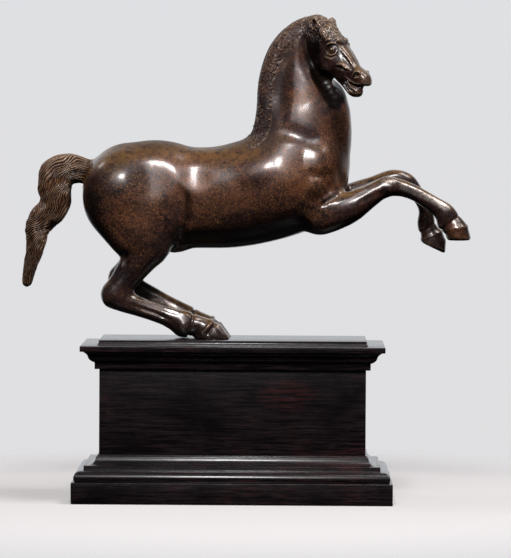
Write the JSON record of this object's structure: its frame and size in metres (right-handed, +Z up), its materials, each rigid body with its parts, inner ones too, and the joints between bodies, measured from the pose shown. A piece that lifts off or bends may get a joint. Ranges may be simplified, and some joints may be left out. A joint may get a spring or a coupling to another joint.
{
  "type": "rearing horse statuette",
  "caption": "Dark bronze figure of a horse rearing on its bent hind legs, with a curly clipped mane and a curled tail, standing on a moulded ebonised wooden plinth.",
  "frame": {"origin": "middle of the plinth's flat underside, where the object stands", "axes": "+X the way the horse faces, along the plinth's length; +Y the horse's left; +Z up"},
  "size_m": [0.323, 0.1204, 0.3491],
  "materials": {
    "bronze": "cast bronze with a dark brown lacquered patina, polished",
    "ebonised_wood": "ebonised hardwood, satin polish"
  },
  "bodies": {
    "root": {"plinth_foot": "ebonised_wood", "plinth_base_moulding": "ebonised_wood", "plinth_die": "ebonised_wood", "plinth_cornice": "ebonised_wood", "plinth_top_panel": "ebonised_wood", "horse": "bronze"}
  },
  "joints": []
}
